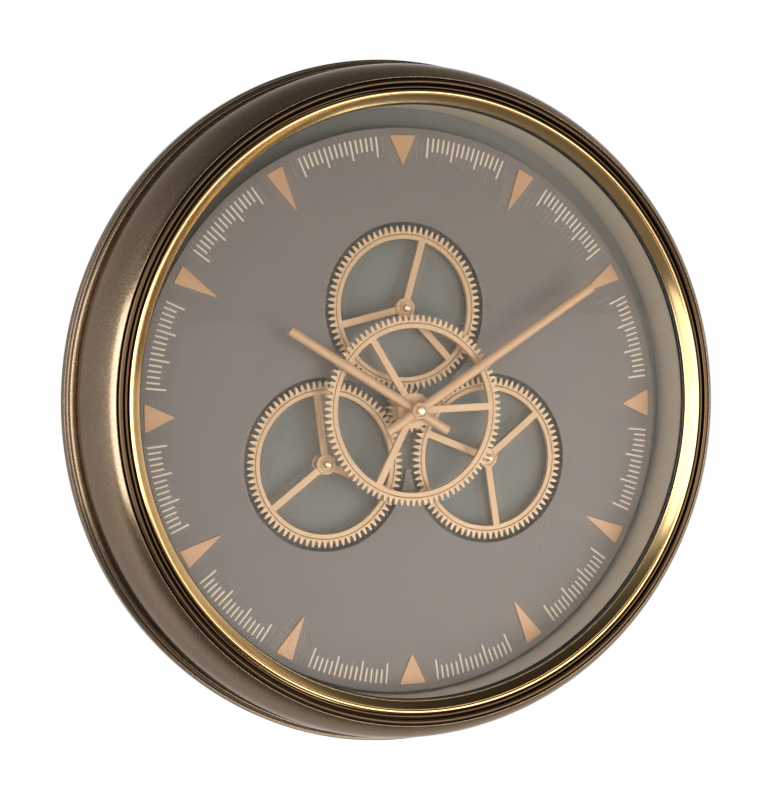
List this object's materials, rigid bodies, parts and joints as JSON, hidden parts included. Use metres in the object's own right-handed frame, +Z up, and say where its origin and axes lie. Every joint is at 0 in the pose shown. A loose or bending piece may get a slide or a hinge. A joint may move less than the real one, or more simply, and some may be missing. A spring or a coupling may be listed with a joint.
{
  "type": "gear wall clock",
  "caption": "Round wall clock with a deep dark bronze case, gold bezel, grey dial with triangular hour markers and an open train of meshing skeleton gears behind two baton hands.",
  "frame": {"origin": "top end of the keyhole in the hanger plate, on the wall plane, where the neck of the wall screw bears", "axes": "+Y into the wall, the clock faces -Y; +Z up; +X to the right of someone who looks at the dial"},
  "size_m": [0.464, 0.0664, 0.464],
  "materials": {
    "gear_gold": "satin peach gold",
    "hand_gold": "satin rose gold",
    "bezel_gold": "polished gold",
    "case_bronze": "dark bronze lacquer, semi gloss, finely speckled",
    "board": "painted fibre board, dark bronze edge",
    "disc_grey": "matt grey painted hardboard",
    "wall_grey": "satin warm grey",
    "dial_grey": "matt grey paint with printed ticks",
    "marker_tan": "satin tan gold",
    "glass": "clear float glass",
    "brass": "turned brass",
    "steel": "zinc plated",
    "black_plastic": "moulded black",
    "white_plastic": "moulded white",
    "cell_jacket": "plain printed jacket, no words"
  },
  "bodies": {
    "case": {"rear_ring": "board", "hanger_plate": "steel", "case_shell": "case_bronze", "bezel_ring": "bezel_gold", "glass": "glass", "wall_ring": "wall_grey", "rear_disc": "disc_grey", "dial_standoff_1": "brass", "dial_standoff_2": "brass", "dial_standoff_3": "brass", "dial_standoff_4": "brass", "dial_standoff_5": "brass", "dial_standoff_6": "brass", "dial_plate": "dial_grey", "hour_marker_01": "marker_tan", "hour_marker_02": "marker_tan", "hour_marker_03": "marker_tan", "hour_marker_04": "marker_tan", "hour_marker_05": "marker_tan", "hour_marker_06": "marker_tan", "hour_marker_07": "marker_tan", "hour_marker_08": "marker_tan", "hour_marker_09": "marker_tan", "hour_marker_10": "marker_tan", "hour_marker_11": "marker_tan", "hour_marker_12": "marker_tan", "left_gear_post": "brass", "left_gear_clip": "steel", "right_gear_post": "brass", "right_gear_clip": "steel", "movement_case": "black_plastic", "movement_cell": "cell_jacket", "movement_bush": "brass", "bush_nut": "brass", "thrust_washer": "steel", "gear_retainer": "brass", "gear_drive_case": "black_plastic", "drive_upper_cell": "cell_jacket", "drive_lower_cell": "cell_jacket"},
    "centre_gears": {"centre_pinion": "gear_gold", "centre_gear": "gear_gold"},
    "upper_gear": {"upper_gear": "gear_gold", "upper_gear_arbor": "brass", "upper_gear_clip": "steel"},
    "right_gear": {"right_gear": "gear_gold"},
    "left_gear": {"left_gear": "gear_gold"},
    "minute_hand": {"minute_shaft": "steel", "minute_hand": "hand_gold", "hand_nut": "brass"},
    "hour_hand": {"hour_tube": "brass", "hour_hand": "hand_gold"},
    "setting_knob": {"setting_knob": "white_plastic"},
    "gear_switch": {"gear_switch": "white_plastic"}
  },
  "joints": [
    {"name": "centre_gears_spin", "type": "hinge", "parent": "case", "child": "centre_gears", "pos_m": [0, -0.034, -0.2285], "axis": [0, 1, 0], "continuous": true},
    {"name": "upper_gear_spin", "type": "hinge", "parent": "case", "child": "upper_gear", "pos_m": [0, -0.027, -0.1597], "axis": [0, 1, 0], "continuous": true},
    {"name": "right_gear_spin", "type": "hinge", "parent": "case", "child": "right_gear", "pos_m": [0.05958, -0.027, -0.2629], "axis": [0, 1, 0], "continuous": true},
    {"name": "left_gear_spin", "type": "hinge", "parent": "case", "child": "left_gear", "pos_m": [-0.05958, -0.027, -0.2629], "axis": [0, 1, 0], "continuous": true},
    {"name": "minute_hand_spin", "type": "hinge", "parent": "case", "child": "minute_hand", "pos_m": [0, -0.049, -0.2285], "axis": [0, 1, 0], "continuous": true},
    {"name": "hour_hand_spin", "type": "hinge", "parent": "case", "child": "hour_hand", "pos_m": [0, -0.0455, -0.2285], "axis": [0, 1, 0], "continuous": true},
    {"name": "setting_knob_spin", "type": "hinge", "parent": "case", "child": "setting_knob", "pos_m": [0.014, -0.003, -0.2165], "axis": [0, 1, 0], "continuous": true},
    {"name": "gear_switch_slide", "type": "slide", "parent": "case", "child": "gear_switch", "axis": [1, 0, 0], "range_m": [0, 0.004]}
  ],
  "couplings": [
    {"joint": "upper_gear_spin", "follows": "centre_gears_spin", "ratio": -0.25641},
    {"joint": "right_gear_spin", "follows": "centre_gears_spin", "ratio": -0.25641},
    {"joint": "left_gear_spin", "follows": "centre_gears_spin", "ratio": -0.25641},
    {"joint": "hour_hand_spin", "follows": "minute_hand_spin", "ratio": 0.083333},
    {"joint": "setting_knob_spin", "follows": "minute_hand_spin", "ratio": -3}
  ]
}
